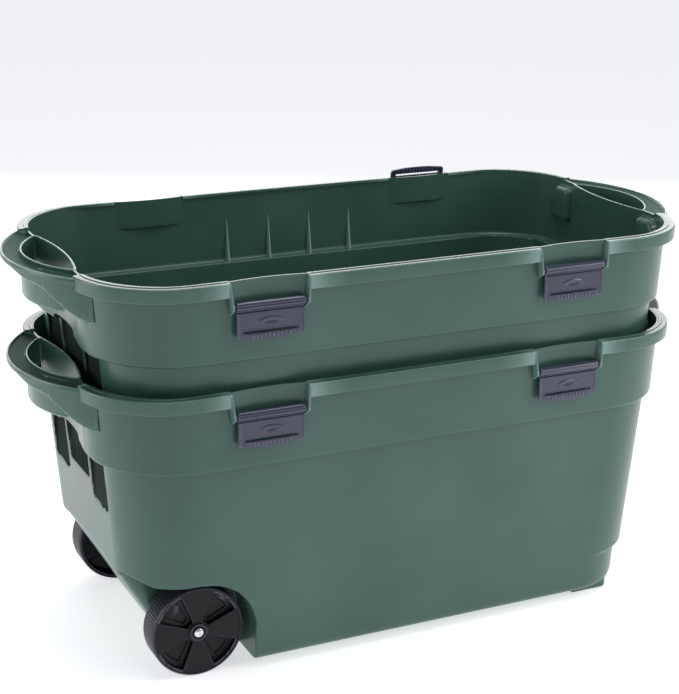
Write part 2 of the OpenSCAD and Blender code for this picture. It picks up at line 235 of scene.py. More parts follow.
def wheel_well(x, y, z):
    """Distance outside the well at the wheel end, on both sides."""
    circle = np.hypot(x + AXLE_X, z - WHEEL_R) - WELL_R
    roof = WELL_TOP + 8 * step(-x, 395, 425)
    behind = np.maximum(x + AXLE_X, z - roof)
    below = np.maximum(np.maximum(x + AXLE_X - WELL_R, -AXLE_X - x), z - WHEEL_R)
    profile = smooth_min(smooth_min(circle, behind, 5), below, 1)
    return smooth_max(profile, KEEL_B - np.abs(y), 3)


def bowed_wall(x, y, z):
    """Shallow dent behind each latch."""
    bow_r = arc_r(NOTCH_HALF, NOTCH_BOW)
    middle = TOP_B + bow_r - NOTCH_BOW
    dent = np.hypot(np.abs(x) - LATCH_X, np.abs(y) - middle) - bow_r
    return smooth_max(dent, RIM_Z - BOW_DROP - z, 4)


def tub_field(x, y, z):
    """Distance outside the tub's outer face, with its top left open."""
    up_a = ramp(z, SHOULDER_Z, RIM_Z, SHOULDER_A, TOP_A)
    up_b = ramp(z, SHOULDER_Z, RIM_Z, SHOULDER_B, TOP_B)
    upper = smooth_max(round_rect(x, y, up_a, up_b, CORNER_R), SHOULDER_Z - z, 5)
    above = step(z, PLINTH_Z - 3, PLINTH_Z + 4)
    low_a = ramp(z, PLINTH_Z, SHOULDER_Z, PLINTH_A, UNDER_A) * above
    low_a = low_a + ramp(z, FOOT_Z, PLINTH_Z, FOOT_A, FOOT_TOP_A) * (1 - above)
    low_b = ramp(z, FOOT_Z, PLINTH_Z, FOOT_B, PLINTH_B)
    low_b = low_b + ramp(z, PLINTH_Z, SHOULDER_Z, 0, UNDER_MORE_B)
    middle = PLINTH_SHIFT * (1 - above)
    low_r = ramp(z, PLINTH_Z, SHOULDER_Z, PLINTH_R, UNDER_R)
    lower = round_rect(x - middle, y, low_a, low_b, low_r)
    lower = smooth_max(lower, z - SHOULDER_Z - 6, 1)
    lower = smooth_max(lower, FLOOR_Z - z, 16)
    body = smooth_min(upper, lower, 3)
    removed = smooth_min(wheel_well(x, y, z), -keel_slope(x, y, z), 26)
    removed = np.where(x < -RIM_A / 2, removed, FAR_OUT)
    for hollow in (end_hollows(x, y, z, SLOT_END_FAR), end_hollows(-x, y, z, SLOT_END_NEAR)):
        removed = smooth_min(removed, hollow, 2)
    body = smooth_max(body, -bowed_wall(x, y, z), 1.0)
    return smooth_max(body, -removed, 3.5)


def outer_field(x, y, z):
    pad = block(x, np.abs(y), z, PAD_X, PAD_Y, (0, 30), 6)
    return smooth_min(tub_field(x, y, z), pad, 3)


def inner_field(x, y, z):
    return tub_field(x, y, z) + WALL


# ---------------------------------------------------------------- surfaces from fields
def grid_line(*stretches):
    """Grid places from stretches (start, end, largest step), each starting where the last ended."""
    places = [stretches[0][0]]
    for start, end, largest in stretches:
        count = max(1, math.ceil((end - start) / largest))
        places += [start + (end - start) * (i + 1) / count for i in range(count)]
    return np.array(places)


def mirrored_line(*stretches):
    half = grid_line(*stretches)
    return np.concatenate([-half[:0:-1], half])


def surface(field, lines, flip=False, polish=2):
    """Surface net of field = 0 on a grid: vertices in mm, and quads facing rising field."""
    values = field(*np.meshgrid(*lines, indexing="ij", sparse=True))
    values = np.broadcast_to(values, [len(line) for line in lines])
    inside = values < 0
    cells = [slice(None, -1), slice(1, None)]
    corners = [(i, j, k) for i in (0, 1) for j in (0, 1) for k in (0, 1)]
    count = sum(inside[cells[i], cells[j], cells[k]].astype(np.int8) for i, j, k in corners)
    active = (count > 0) & (count < 8)
    number = np.full(active.shape, -1)
    number[active] = np.arange(active.sum())
    base = np.stack(np.nonzero(active), axis=1)
    total = np.zeros(base.shape)
    hits = np.zeros(len(base))
    for a in corners:
        for axis in range(3):
            if a[axis] == 1:
                continue
            at = base + a
            to = at.copy()
            to[:, axis] += 1
            va = values[tuple(at.T)]
            vb = values[tuple(to.T)]
            crossing = (va < 0) != (vb < 0)
            t = np.where(crossing, va / np.where(crossing, va - vb, 1), 0)
            start = np.stack([lines[n][at[:, n]] for n in range(3)], axis=1)
            end = np.stack([lines[n][to[:, n]] for n in range(3)], axis=1)
            total += np.where(crossing[:, None], start + (end - start) * t[:, None], 0)
            hits += crossing
    points = total / hits[:, None]
    faces = []
    for axis in range(3):
        u = (axis + 1) % 3
        v = (axis + 2) % 3
        changes = np.diff(inside.astype(np.int8), axis=axis)
        at = np.stack(np.nonzero(changes), axis=1)
        rising = changes[tuple(at.T)] < 0
        keep = np.ones(len(at), bool)
        for n in (u, v):
            keep &= (at[:, n] > 0) & (at[:, n] < len(lines[n]) - 1)
        at = at[keep]
        rising = rising[keep]
        ring = []
        for du, dv in ((-1, -1), (0, -1), (0, 0), (-1, 0)):
            cell = at.copy()
            cell[:, u] += du
            cell[:, v] += dv
            ring.append(number[tuple(cell.T)])
        quads = np.stack(ring, axis=1)
        turn = rising if flip else ~rising
        quads[turn] = quads[turn][:, ::-1]
        faces.append(quads)
    for _ in range(polish):
        points = polished(field, points)
    return points, np.concatenate(faces)


def polished(field, points, reach=0.25, most=1.0):
    """Points moved onto field = 0 along its slope."""
    value = field(*points.T)
    slope = np.empty(points.shape)
    for n in range(3):
        shift = np.zeros(3)
        shift[n] = reach
        slope[:, n] = (field(*(points + shift).T) - field(*(points - shift).T)) / (2 * reach)
    size = np.maximum((slope**2).sum(1), 0.3)
    move = -slope * (value / size)[:, None]
    length = np.linalg.norm(move, axis=1)
    move *= np.minimum(1, most / np.maximum(length, 1e-9))[:, None]
    return points + move


# ---------------------------------------------------------------- mesh helpers
def mesh_of(name, parts, smooth_angle=35):
    """One mesh in metres from (points in mm, faces) parts."""
    points = []
    faces = []
    for part_points, part_faces in parts:
        shift = len(points)
        points.extend(tuple(p) for p in np.asarray(part_points) * MM)
        faces.extend([int(i) + shift for i in face] for face in part_faces)
    mesh = bpy.data.meshes.new(name)
    mesh.from_pydata(points, [], faces)
    mesh.validate()
    finish_mesh(mesh, smooth_angle)
    return mesh


def finish_mesh(mesh, smooth_angle):
    mesh.polygons.foreach_set("use_smooth", [True] * len(mesh.polygons))
    mesh.set_sharp_from_angle(angle=math.radians(smooth_angle))
    mesh.update()


def face_outward(mesh):
    bm = bmesh.new()
    bm.from_mesh(mesh)
    bmesh.ops.recalc_face_normals(bm, faces=bm.faces[:])
    bm.to_mesh(mesh)
    bm.free()


def shaded_by(mesh, field, span=0.6, most=25):
    """Corner normals from the field's slope, where the faces agree with it within an angle."""
    points = np.empty(len(mesh.vertices) * 3)
    mesh.vertices.foreach_get("co", points)
    points = points.reshape(-1, 3).T / MM
    slope = []
    for shift in np.eye(3)[:, :, None] * span:
        slope.append(field(*(points + shift)) - field(*(points - shift)))
    slope = np.stack(slope, axis=1)
    slope /= np.maximum(np.linalg.norm(slope, axis=1, keepdims=True), 1e-9)
    corners = np.empty(len(mesh.loops) * 3)
    mesh.corner_normals.foreach_get("vector", corners)
    corners = corners.reshape(-1, 3)
    owner = np.empty(len(mesh.loops), dtype=np.int32)
    mesh.loops.foreach_get("vertex_index", owner)
    slope = slope[owner]
    agree = np.sum(slope * corners, axis=1)
    close = np.abs(agree) > math.cos(math.radians(most))
    corners[close] = slope[close] * np.sign(agree[close])[:, None]
    mesh.normals_split_custom_set(corners)


def mirrored(part, axis):
    """A part's mirror image across the plane where that axis is 0."""
    points = np.array(part[0], float)
    points[:, axis] *= -1
    return points, [list(face)[::-1] for face in part[1]]


def place(name, mesh, tier, body, slot_name, *nodes):
    """A piece on a CAD body that stands for CAD nodes."""
    piece = bpy.data.objects.new(name, mesh)
    bpy.context.scene.collection.objects.link(piece)
    piece.location = PLACE[tier]
    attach(piece, body)
    if nodes:
        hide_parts(*nodes)
    return piece


def decimated(mesh, ratio):
    """The mesh with its faces collapsed where the surface is plain."""
    holder = bpy.data.objects.new("holder", mesh)
    bpy.context.scene.collection.objects.link(holder)
    thin = holder.modifiers.new("thin", "DECIMATE")
    thin.ratio = ratio
    graph = bpy.context.evaluated_depsgraph_get()
    result = bpy.data.meshes.new_from_object(holder.evaluated_get(graph))
    bpy.data.objects.remove(holder)
    return result


def rounded_outline(corners, segments=4):
    """Outline through (x, y, radius) corners, each replaced by an arc."""
    outline = []
    for i, (x, y, r) in enumerate(corners):
        here = Vector((x, y))
        back = Vector(corners[i - 1][:2]) - here
        ahead = Vector(corners[(i + 1) % len(corners)][:2]) - here
        if r == 0:
            outline.append(here)
            continue
        half = back.angle(ahead) / 2
        run = min(r / math.tan(half), back.length / 2, ahead.length / 2)
        start = here + back.normalized() * run
        end = here + ahead.normalized() * run
        for n in range(segments + 1):
            t = n / segments
            outline.append(start.lerp(here, t).lerp(here.lerp(end, t), t))
    return outline


def swept(path, profile):
    """A closed profile of (outward, up) points swept along (x, y, z, nx, ny) path points."""
    points = []
    for x, y, z, nx, ny in path:
        points += [(x + nx * p.x, y + ny * p.x, z + p.y) for p in profile]
    n = len(profile)
    faces = []
    for i in range(len(path) - 1):
        for j in range(n):
            k = (j + 1) % n
            faces.append((i * n + j, i * n + k, (i + 1) * n + k, (i + 1) * n + j))
    faces.append(tuple(range(n - 1, -1, -1)))
    faces.append(tuple((len(path) - 1) * n + j for j in range(n)))
    return points, faces


def turned(profile, segments, axis_place=(0, 0, 0)):
    """A profile of (radius, along) points turned about the Y axis."""
    points = []
    for r, along in profile:
        for i in range(segments):
            angle = 2 * math.pi * i / segments
            points.append((axis_place[0] + r * math.cos(angle), axis_place[1] + along,
                           axis_place[2] + r * math.sin(angle)))
    faces = []
    for row in range(len(profile) - 1):
        for i in range(segments):
            k = (i + 1) % segments
            faces.append((row * segments + i, (row + 1) * segments + i,
                          (row + 1) * segments + k, row * segments + k))
    return points, faces


# ---------------------------------------------------------------- the tub
def tub_lines():
    x = mirrored_line((0, 180, 9), (180, 305, 3), (305, 380, 6), (380, 490, 2.8))
    y = mirrored_line((0, 40, 4), (40, 205, 3), (205, 262, 3.2))
    z = grid_line((-8, 30, 3), (30, 66, 6), (66, 84, 3), (84, 138, 7), (138, 178, 3), (178, 240, 7),
                  (240, 285, 3), (285, 322, 5), (322, 350, 2.5), (350, 380, 4), (380, 440, 3),
                  (440, RIM_Z + 9, 3))
    return x, y, z


def opened_at_rim(mesh):
    """Cuts the mesh level with the rim and joins the outer and inner walls along the cut."""
    bm = bmesh.new()
    bm.from_mesh(mesh)
    everything = bm.verts[:] + bm.edges[:] + bm.faces[:]
    bmesh.ops.bisect_plane(bm, geom=everything, dist=1e-6, plane_co=(0, 0, (RIM_Z - WALL_CUT) * MM),
                           plane_no=(0, 0, 1), clear_outer=True)
    rims = [edge for edge in bm.edges if edge.is_boundary]
    bmesh.ops.bridge_loops(bm, edges=rims)
    bm.to_mesh(mesh)
    bm.free()


def dipped_at_handles(points):
    """The wall's top edge is lower along the handles."""
    x, y, z = points.T
    depth = (EDGE_DROP - WALL_CUT) * step(z, RIM_Z - 16, RIM_Z)
    depth = depth * step(np.abs(x), 436, 446) * (1 - step(np.abs(y), RAIL_HALF - 5, RAIL_HALF))
    return np.stack([x, y, z - depth], axis=1)


def shell_mesh():
    lines = tub_lines()
    outer = surface(outer_field, lines)
    inner = surface(inner_field, lines, flip=True)
    mesh = mesh_of("shell_fine", [outer, inner])
    opened_at_rim(mesh)
    points = np.empty(len(mesh.vertices) * 3)
    mesh.vertices.foreach_get("co", points)
    points = dipped_at_handles(points.reshape(-1, 3) / MM) * MM
    mesh.vertices.foreach_set("co", points.ravel())
    shell = decimated(mesh, 0.36)
    shell.name = "tub_shell"
    finish_mesh(shell, 40)
    shaded_by(shell, tub_field)
    # Faces lining the end pockets get the near-black second material: painted shade in the
    # recesses.
    x, y, z = np.array([face.center for face in shell.polygons]).T / MM
    pocket_shade_distance = np.minimum(end_pockets(x, y, z, SLOT_END_FAR), end_pockets(-x, y, z, SLOT_END_NEAR))
    shell.polygons.foreach_set("material_index", (pocket_shade_distance < POCKET_SHADE_SKIN).astype(np.int32))
    return shell


def rim_profile():
    """Section of the rim: (outward of the rim's outline, above the rim)."""
    inner = -FLANGE - WALL + 0.4
    corners = [
        (inner, -0.2, 1.2), (inner + 4.2, -0.2, 0.7), (inner + 5.0, -1.3, 0.4), (0, -1.0, 2.2),
        (0, -SKIRT_H, 1.2), (-WALL + 0.4, -SKIRT_H, 1.0), (-WALL + 0.4, -5.0, 1.4),
        (-FLANGE, -5.0, 0.5), (inner, -5.0, 0.4),
    ]
    return rounded_outline(corners)


def corner_path(steps=44):
    """Rim outline from a handle's end at +X, round the +Y corner, to the edge of the notch."""
    start = math.asin((RAIL_HALF - (RIM_B - CORNER_R)) / CORNER_R)
    path = []
    for i in range(steps + 1):
        angle = start + (math.pi / 2 - start) * i / steps
        c = math.cos(angle)
        s = math.sin(angle)
        path.append((RIM_A - CORNER_R + CORNER_R * c, RIM_B - CORNER_R + CORNER_R * s, RIM_Z, c, s))
    notch_x = LATCH_X + NOTCH_HALF
    straight = RIM_A - CORNER_R - notch_x
    for part in (0.08, 0.5, 1.0):
        path.append((RIM_A - CORNER_R - straight * part, RIM_B, RIM_Z, 0, 1))
    return path


def middle_path(steps=12):
    reach = LATCH_X - NOTCH_HALF
    return [(reach - 2 * reach * i / steps, RIM_B, RIM_Z, 0, 1) for i in range(steps + 1)]


def flange_end(path):
    """Plate that closes the flange where it meets a handle."""
    outline = rounded_outline([(-FLANGE - WALL + 0.6, -0.6, 0.8), (-0.4, -1.2, 1.6),
                               (-0.4, -SKIRT_H + 0.4, 1.0), (-FLANGE - 1, -SKIRT_H - 4, 1.0)])
    return swept([path[0], path[1]], outline)


def rim_parts():
    profile = rim_profile()
    path = corner_path()
    corner = swept(path, profile)
    end = flange_end(path)
    middle = swept(middle_path(), profile)
    corners = [corner, mirrored(corner, 1), end, mirrored(end, 1)]
    corners += [mirrored(part, 0) for part in corners]
    return corners + [middle, mirrored(middle, 1)]


def cheek_part(side):
    """Side plate of the notch at +X, +Y."""
    nose_y = PIVOT_Y + 5.6
    outline = rounded_outline([
        (TOP_B - 2, -0.5, 0.5), (RIM_B - 0.4, -0.8, 1.5), (nose_y, -30, 5), (nose_y, -39, 2),
        (TOP_B - 3, -49, 1),
    ])
    half = WALL / 2
    lean = math.radians(CHEEK_LEAN) * side
    rings = []
    for across, inset in ((-half, 0.5), (-half + 0.5, 0), (half - 0.5, 0), (half, 0.5)):
        middle = sum(outline, Vector((0, 0))) / len(outline)
        ring = []
        for p in outline:
            q = p + (middle - p).normalized() * inset
            offset = side * half + across
            along = offset * math.cos(lean) + q.y * math.sin(lean)
            above = q.y * math.cos(lean) - offset * math.sin(lean)
            ring.append((LATCH_X + side * NOTCH_HALF + along, q.x, RIM_Z + above))
        rings.append(ring)
    n = len(outline)
    points = sum(rings, [])
    faces = [tuple(range(n - 1, -1, -1)), tuple(3 * n + j for j in range(n))]
    for i in range(3):
        for j in range(n):
            k = (j + 1) % n
            faces.append((i * n + j, i * n + k, (i + 1) * n + k, (i + 1) * n + j))
    return points, faces


def rib_part(x):
    """Pointed rib on the inner face of the long wall at +Y."""
    wall_low = RIM_B - 14.2
    wall_high = RIM_B - 12.6
    foot_z = SHOULDER_Z + WALL - 0.5
    tip_z = SHOULDER_Z + RIB_H
    rows = []
    for i in range(RIB_ROWS + 1):
        t = i / RIB_ROWS
        z = foot_z + (tip_z - foot_z) * t
        back = wall_low + (wall_high - wall_low) * t + 0.8
        out = 9.5 * (1 - t) + 1.0
        half = 3.2 * (1 - t) ** 0.8 + 0.5
        rows.append([(x - half, back, z), (x - half * 0.35, back - out, z),
                     (x + half * 0.35, back - out, z), (x + half, back, z)])
    last = 4 * RIB_ROWS
    faces = [(0, 1, 2, 3), (last + 3, last + 2, last + 1, last)]
    for i in range(RIB_ROWS):
        for j in range(4):
            k = (j + 1) % 4
            faces.append((i * 4 + j, (i + 1) * 4 + j, (i + 1) * 4 + k, i * 4 + k))
    return sum(rows, []), faces


def skirt_depth(y):
    """Lower edge of a handle's skirt below the rim, deeper towards its ends."""
    return SKIRT_LEAST + 11 * step(np.abs(y), 10, 95) + 43 * step(np.abs(y), 85, 168)


def chimney_depth(y):
    return CHIMNEY_H - 52 * step(np.abs(y), 84, 112)


def handle_field(x, y, z):
    """Handle at +X: a dished ledge, an arched skirt, and the raised wall of the grip hole."""
    arc = np.hypot(x - HANDLE_CX, y) - HANDLE_R + 1.0
    drop = RIM_Z - z
    wall_line = round_rect(x, y, TOP_A - 1, TOP_B - 1, CORNER_R)
    hole = lens(x, y)
    dish = LEDGE_DROP - 1.5 + 3.5 * step(-arc, 4, 26)
    ledge = np.maximum(dish - drop, drop - dish - WALL)
    ledge = smooth_max(ledge, arc, 1.5)
    skirt = np.maximum(arc, -arc - WALL)
    skirt = smooth_max(skirt, EDGE_DROP - drop, 1.4)
    skirt = smooth_max(skirt, drop - skirt_depth(y), 1.5)
    handle = smooth_min(ledge, skirt, 2.2)
    handle = np.maximum(handle, -wall_line)
    lip = np.maximum(-hole, hole - WALL)
    lip = smooth_max(lip, EDGE_DROP - 0.8 - drop, 1.4)
    lip = smooth_max(lip, drop - chimney_depth(y), 2)
    handle = smooth_min(handle, lip, 1.6)
    return smooth_max(handle, -hole, 1)


def handle_part():
    lines = (
        grid_line((446, HANDLE_REACH + 4, 1.3)),
        mirrored_line((0, 172, 1.5)),
        grid_line((RIM_Z - 72, RIM_Z - 18, 2.2), (RIM_Z - 18, RIM_Z + 3, 1.0)),
    )
    return surface(handle_field, lines)


def handle_mesh():
    part = handle_part()
    mesh = mesh_of("handles_fine", [part, mirrored(part, 0)])
    handles = decimated(mesh, 0.45)
    handles.name = "tub_handles"
    finish_mesh(handles, 50)
    for face in handles.polygons:
        sunk = face.center.z < (RIM_Z - EDGE_DROP - 1.6) * MM
        if sunk and face.normal.z > 0.75:
            face.material_index = 1      # the matt ledge, its colour a little darker as painted shade
    return handles


def trim_mesh():
    """Rim, notch side plates, inner ribs and the sleeve of the axle."""
    parts = rim_parts()
    cheeks = []
    for side in (-1, 1):
        part = cheek_part(side)
        both = [part, mirrored(part, 1)]
        cheeks += both + [mirrored(p, 0) for p in both]
    ribs = []
    for i in range(RIB_COUNT):
        part = rib_part((i - (RIB_COUNT - 1) / 2) * RIB_PITCH)
        ribs += [part, mirrored(part, 1)]
    reach = KEEL_B - 1
    sleeve = turned([(SLEEVE_R, -reach), (SLEEVE_R, reach)], 32, (-AXLE_X, 0, WHEEL_R))
    mesh = mesh_of("tub_trim", parts + cheeks + ribs + [sleeve])
    face_outward(mesh)
    finish_mesh(mesh, 32)
    return mesh


# ---------------------------------------------------------------- latch
LATCH_HALF = 50.3
LATCH_L = 50.0
TIP_R = 300                # radius of the bowed tip
LATCH_CORNER = 10
BARREL_R = 6.3
PIN_R = 2.5
PIN_REACH = 5.6
PLATE_HALF = 1.7           # half the plate's thickness
UNDERCUT_Z = (-9.6, -6.2)  # dark gap below the barrel
LATCH_SLOT_HALF = 41
LATCH_SLOT_Z = (-39.1, -35.9)
LIP_DEPTHS = (33, 38)      # the face rises to the thicker tip between these
TIP_RIB_PITCH = 6
TIP_RIB_DEPTH = 43.5
TIP_RIBS_HALF = 32
DIMPLE_DEPTH = 24


def latch_field(x, y, z):
    """Latch hanging from the X axis, its outside towards +Y."""
    barrel = smooth_max(np.hypot(y, z) - BARREL_R, np.abs(x) - LATCH_HALF, 1.5)
    pin = np.maximum(np.hypot(y, z) - PIN_R, np.abs(x) - LATCH_HALF - PIN_REACH)
    depth = -z
    ax = np.abs(x)
    tip = LATCH_L - x * x / (2 * TIP_R)
    corner = round_rect(x, z + 22, LATCH_HALF, 28, LATCH_CORNER)
    outline = smooth_max(corner, depth - tip, 1)
    face = PLATE_HALF + 0.9 * step(depth, *LIP_DEPTHS) * (1 - step(ax, 38, 46))
    face = face + 0.8 * step(ax, LATCH_HALF - 4, LATCH_HALF - 2.5) * step(depth, 8, 12)
    dimple = np.hypot(x / 15, (depth - DIMPLE_DEPTH) / 5)
    brow = np.exp(-((dimple - 0.9) ** 2) / 0.05) * step(DIMPLE_DEPTH - depth, -5, 3)
    face = face + 1.1 * brow
    face = face - 0.9 * np.exp(-((dimple) ** 2) * 2.5)
    plate = smooth_max(np.maximum(y - face, -y - PLATE_HALF), outline, 1.4)
    tip_ribs = np.abs((ax % TIP_RIB_PITCH) - TIP_RIB_PITCH / 2) - 0.9
    tip_ribs = np.maximum(tip_ribs, np.abs(depth - TIP_RIB_DEPTH) - 2.6)
    tip_ribs = np.maximum(tip_ribs, np.maximum(ax - TIP_RIBS_HALF, np.abs(y - 2.8) - 1.0))
    plate = smooth_min(plate, tip_ribs, 0.8)
    latch = smooth_min(plate, barrel, 1.5)
    undercut = block(x, y, z, (-FAR_OUT, FAR_OUT), (-0.5, 20), UNDERCUT_Z, 0.8)
    flute = np.hypot(y - 6.6, z - 0.4) - 1.5
    latch = smooth_max(latch, -smooth_min(undercut, flute, 0.5), 0.6)
    slot = block(x, y, z, (-LATCH_SLOT_HALF, LATCH_SLOT_HALF), (-20, 20), LATCH_SLOT_Z, 1.4)
    latch = smooth_max(latch, -slot, 1)
    return np.minimum(latch, pin)


def latch_mesh():
    lines = (
        mirrored_line((0, LATCH_HALF + 8, 1.1)),
        grid_line((-8, 8, 0.8)),
        grid_line((-53, 8, 0.9)),
    )
    mesh = mesh_of("latch_fine", [surface(latch_field, lines)])
    latch = decimated(mesh, 0.4)
    latch.name = "latch"
    finish_mesh(latch, 40)
    return latch


# ---------------------------------------------------------------- wheel
WHEEL_W = 44.0
TREAD_T = 5.0
HUB_R = 14.0
BORE_R = 5.1
SEAT_R = 9.8               # seat round the axle cap
SEAT_D = 2
WEB_T = 17                 # the hollow at the back stops this far from the outer face
POCKET_D = 11.5
POCKET_FLOOR_D = 14.5      # the sunk floor of each pocket
EDGE_R = 1.5
TREAD_GROOVES = 92
HALF_QUARTER = 0.785       # radians


def wheel_field(x, y, z):
    """Wheel inside its tread, about the Y axis, its outer face towards +Y at WHEEL_W."""
    r = np.hypot(x, z)
    inner_r = WHEEL_R - TREAD_T + EDGE_R
    disc = smooth_max(r - inner_r, np.abs(y - WHEEL_W / 2) - WHEEL_W / 2 + EDGE_R, EDGE_R)
    back = np.maximum(np.maximum(r - (WHEEL_R - TREAD_T - 1), HUB_R - r), y - WHEEL_W + WEB_T)
    wheel = smooth_max(disc, -back, 2)
    angle = (np.arctan2(z, x) + math.pi / 4) % (math.pi / 2) - math.pi / 4
    spread = r * (HALF_QUARTER - np.abs(angle))
    pocket = smooth_max(r - (WHEEL_R - TREAD_T - 2.2), HUB_R + 3 - r, 3)
    reach = 0.40 * r - 0.8
    flank = spread - reach
    pocket = smooth_max(pocket, flank, 3)
    shallow = smooth_max(pocket, WHEEL_W - POCKET_D - y, 2)
    inner_reach = 0.31 * r - 2.5
    deep = smooth_max(smooth_max(r - 56, HUB_R + 8 - r, 3), spread - inner_reach, 3)
    deep = smooth_max(deep, WHEEL_W - POCKET_FLOOR_D - y, 1.5)
    wheel = smooth_max(wheel, -shallow, 1.6)
    wheel = smooth_max(wheel, -deep, 1.6)
    hub = smooth_max(r - HUB_R, np.abs(y - (WHEEL_W - 5) / 2 - 0.5) - (WHEEL_W + 8) / 2, 1.6)
    wheel = smooth_min(wheel, hub, 2)
    seat = np.maximum(r - SEAT_R, WHEEL_W - SEAT_D - y)
    wheel = smooth_max(wheel, -seat, 1)
    return np.maximum(wheel, BORE_R - r)


def tread_part():
    """Tread with cross grooves, and its rounded edges."""
    rows = []
    edge = 3.0
    for along, less in ((1.5, TREAD_T - 1), (0.4, 3.4), (0, 2.6), (0.5, 1.2), (edge, 0.1),
                        (edge + 1.5, 0), (WHEEL_W - edge - 1.5, 0), (WHEEL_W - edge, 0.1),
                        (WHEEL_W - 0.5, 1.2), (WHEEL_W, 2.6), (WHEEL_W - 0.4, 3.4),
                        (WHEEL_W - 1.5, TREAD_T - 1)):
        grooved = edge < along < WHEEL_W - edge
        row = []
        for i in range(TREAD_GROOVES):
            for part, dip in ((0.0, 0.75), (0.16, 0.75), (0.24, 0.0), (0.92, 0.0)):
                angle = 2 * math.pi * (i + part) / TREAD_GROOVES
                r = WHEEL_R - less - (dip if grooved else 0)
                row.append((r * math.cos(angle), along, r * math.sin(angle)))
        rows.append(row)
    n = len(rows[0])
    faces = []
    for i in range(len(rows) - 1):
        for j in range(n):
            k = (j + 1) % n
            faces.append((i * n + j, (i + 1) * n + j, (i + 1) * n + k, i * n + k))
    return sum(rows, []), faces


def wheel_mesh():
    lines = (
        mirrored_line((0, WHEEL_R, 1.5)),
        grid_line((-6, WHEEL_W - 18, 3), (WHEEL_W - 18, WHEEL_W + 2, 1.2)),
        mirrored_line((0, WHEEL_R, 1.5)),
    )
    fine = mesh_of("wheel_fine", [surface(wheel_field, lines)])
    body = decimated(fine, 0.35)
    bm = bmesh.new()
    bm.from_mesh(body)
    bm.from_mesh(mesh_of("tread", [tread_part()]))
    mesh = bpy.data.meshes.new("wheel")
    bm.to_mesh(mesh)
    bm.free()
    finish_mesh(mesh, 42)
    return mesh


def cap_mesh():
    """Domed cap with a small sunk centre, its base at Y = 0."""
    profile = [(BORE_R, 0), (7.0, 0), (7.3, 0.3), (7.3, 3.6), (7.1, 4.2)]
    for i in range(9):
        r = 6.8 * (1 - i / 8) + 2.3 * i / 8
        profile.append((r, 4.3 + 2.2 * (1 - (r / 7.3) ** 2)))
    profile += [(2.0, 6.1), (1.7, 5.2), (0.6, 4.9), (0.01, 4.9)]
    mesh = mesh_of("axle_cap", [turned(profile, 48)])
    face_outward(mesh)
    finish_mesh(mesh, 32)
    return mesh


# ---------------------------------------------------------------- materials
def linear(channel):
    channel /= 255
    return channel / 12.92 if channel <= 0.04045 else ((channel + 0.055) / 1.055) ** 2.4


def colour(r, g, b):
    return (linear(r), linear(g), linear(b), 1)


GRAIN_DEPTH = 0.00006


def plastic(name, main, highlight, rough, grain=900.0, edge_from=0.515, specular=0.5):
    """Moulded plastic: slow colour drift, a fine grain, a painted highlight on sharp edges and
    uneven gloss.
    """
    material = bpy.data.materials.new(name)
    material.use_nodes = True
    nodes = material.node_tree.nodes
    links = material.node_tree.links
    shader = nodes["Principled BSDF"]
    shader.inputs["IOR"].default_value = 1.49
    shader.inputs["Specular IOR Level"].default_value = specular
    place_node = nodes.new("ShaderNodeTexCoord")
    drift = nodes.new("ShaderNodeTexNoise")
    drift.inputs["Scale"].default_value = 7.0
    drift.inputs["Detail"].default_value = 4.0
    grain_node = nodes.new("ShaderNodeTexNoise")
    grain_node.inputs["Scale"].default_value = grain
    grain_node.inputs["Detail"].default_value = 3.0
    for texture in (drift, grain_node):
        links.new(place_node.outputs["Object"], texture.inputs["Vector"])
    geometry = nodes.new("ShaderNodeNewGeometry")
    # Painted highlight: where the mesh is sharp (pointiness), the lighter colour is mixed in.
    edge = nodes.new("ShaderNodeMapRange")
    edge.inputs["From Min"].default_value = edge_from
    edge.inputs["From Max"].default_value = edge_from + 0.085
    edge.inputs["To Max"].default_value = 0.7
    links.new(geometry.outputs["Pointiness"], edge.inputs["Value"])
    shade = nodes.new("ShaderNodeMapRange")
    shade.inputs["From Min"].default_value = 0.3
    shade.inputs["From Max"].default_value = 0.7
    shade.inputs["To Min"].default_value = 0.0
    shade.inputs["To Max"].default_value = 0.05
    links.new(drift.outputs["Fac"], shade.inputs["Value"])
    # Painted edge highlight plus slow random colour drift.
    highlight_and_drift = nodes.new("ShaderNodeMath")
    highlight_and_drift.operation = "ADD"
    highlight_and_drift.use_clamp = True
    links.new(edge.outputs["Result"], highlight_and_drift.inputs[0])
    links.new(shade.outputs["Result"], highlight_and_drift.inputs[1])
    mix = nodes.new("ShaderNodeMix")
    mix.data_type = "RGBA"
    mix.inputs["A"].default_value = main
    mix.inputs["B"].default_value = highlight
    links.new(highlight_and_drift.outputs["Value"], mix.inputs["Factor"])
    links.new(mix.outputs["Result"], shader.inputs["Base Color"])
    gloss = nodes.new("ShaderNodeMapRange")
    gloss.inputs["To Min"].default_value = rough - 0.05
    gloss.inputs["To Max"].default_value = rough + 0.05
    links.new(drift.outputs["Fac"], gloss.inputs["Value"])
    links.new(gloss.outputs["Result"], shader.inputs["Roughness"])
    bump = nodes.new("ShaderNodeBump")
    bump.inputs["Strength"].default_value = 0.35
    bump.inputs["Distance"].default_value = GRAIN_DEPTH
    links.new(grain_node.outputs["Fac"], bump.inputs["Height"])
    links.new(bump.outputs["Normal"], shader.inputs["Normal"])
    return material


